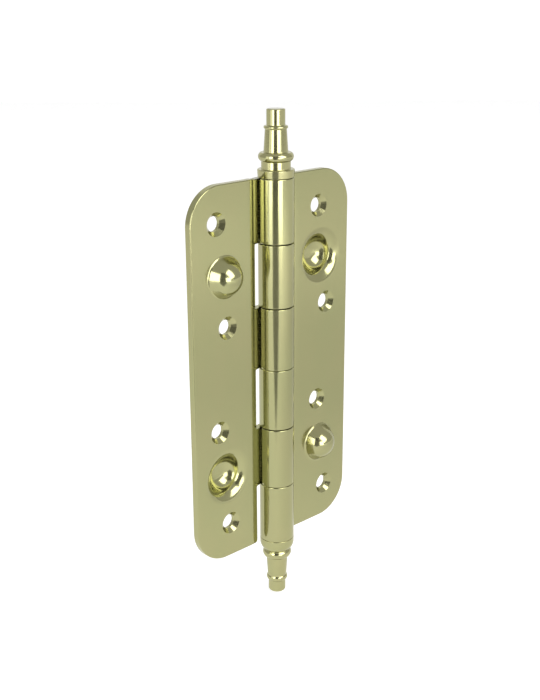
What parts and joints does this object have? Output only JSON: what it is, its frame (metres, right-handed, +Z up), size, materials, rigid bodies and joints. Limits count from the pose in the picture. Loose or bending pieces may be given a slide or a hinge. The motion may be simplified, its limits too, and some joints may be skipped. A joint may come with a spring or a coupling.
{
  "type": "security hinge",
  "caption": "Butt hinge of two bent and pressed leaves curled round a finial pin; a dome on each leaf seats in a recess in the other when shut.",
  "frame": {"origin": "on the pin's axis at the middle of the barrel's height", "axes": "+Z up along the pin; +X along the frame leaf; -Y out of the countersunk faces; +Y towards the timber behind the leaves, with the hinge open flat"},
  "size_m": [0.0824, 0.0174, 0.1998],
  "materials": {
    "brassed_leaf": "satin polished brass plate on pressed steel",
    "turned_brass": "turned and polished brass",
    "bright_steel": "ground steel pin"
  },
  "bodies": {
    "frame": {"frame_leaf": "brassed_leaf", "hinge_pin": "bright_steel", "top_finial": "turned_brass", "bottom_finial": "turned_brass"},
    "door": {"door_leaf": "brassed_leaf"}
  },
  "joints": [
    {"name": "hinge_swing", "type": "hinge", "parent": "frame", "child": "door", "pos_m": [0, 0, 0], "axis": [0, 0, 1], "range_deg": [-90, 180]}
  ]
}
